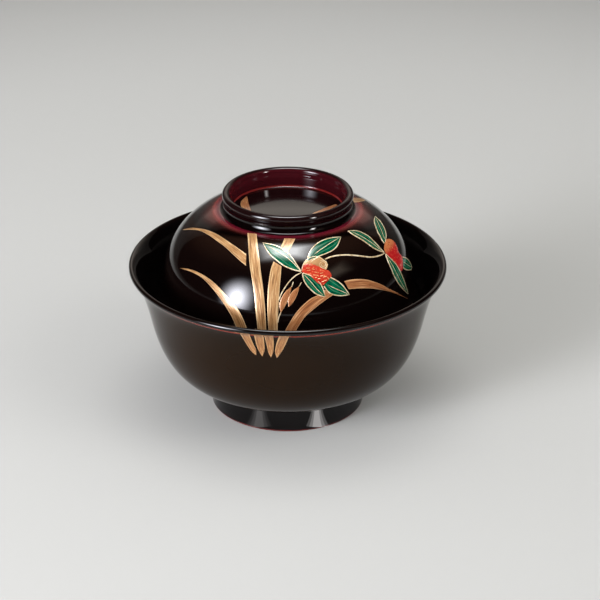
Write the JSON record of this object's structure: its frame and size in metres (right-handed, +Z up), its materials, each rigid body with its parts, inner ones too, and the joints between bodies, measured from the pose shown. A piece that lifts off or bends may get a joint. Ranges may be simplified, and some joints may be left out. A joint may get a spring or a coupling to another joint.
{
  "type": "lacquer soup bowl with lid",
  "caption": "Footed lacquered wooden soup bowl with a domed lid that seats inside its flared lip and is lifted by a ring, with gold grass and orchids on the front.",
  "frame": {"origin": "centre of the foot ring's underside, on the surface that the bowl stands on", "axes": "+Z up along the turning axis, the painting faces -Y, +X to the viewer's right"},
  "size_m": [0.13, 0.13, 0.0936],
  "materials": {
    "turned_wood": "turned and sanded, sealed under lacquer",
    "brown_lacquer": "dark brown lacquer, polished gloss",
    "black_lacquer": "black lacquer, polished gloss",
    "foot_lacquer": "black lacquer with a red undercoat at the edge, polished gloss",
    "lid_lacquer": "black-brown lacquer, clear red round the ring, polished gloss",
    "wine_lacquer": "deep wine red lacquer, polished gloss",
    "gold_blades": "gold powder in lacquer, satin, streaked lengthwise",
    "gold_lines": "fine gold powder in lacquer, satin",
    "green_petals": "green pigmented lacquer, gloss, fine veins",
    "red_lips": "vermilion lacquer with gold flecks, gloss",
    "copper_buds": "copper-toned gold powder in lacquer, satin"
  },
  "bodies": {
    "bowl": {"bowl_core": "turned_wood", "bowl_outer_coat": "brown_lacquer", "bowl_inner_coat": "black_lacquer", "foot_coat": "foot_lacquer", "bowl_blades": "gold_blades"},
    "lid": {"lid_core": "turned_wood", "lid_outer_coat": "lid_lacquer", "lid_inner_coat": "black_lacquer", "ring_coat": "wine_lacquer", "ring_well_coat": "lid_lacquer", "lid_blades": "gold_blades", "ring_well_blades": "gold_blades", "orchid_petals": "green_petals", "petal_ribs": "gold_lines", "orchid_lips": "red_lips", "orchid_cap": "gold_lines", "orchid_stems": "gold_lines", "orchid_buds": "copper_buds"}
  },
  "joints": [
    {"name": "lid_lift", "type": "slide", "parent": "bowl", "child": "lid", "axis": [0, 0, 1], "range_m": [0, 0.08]}
  ]
}
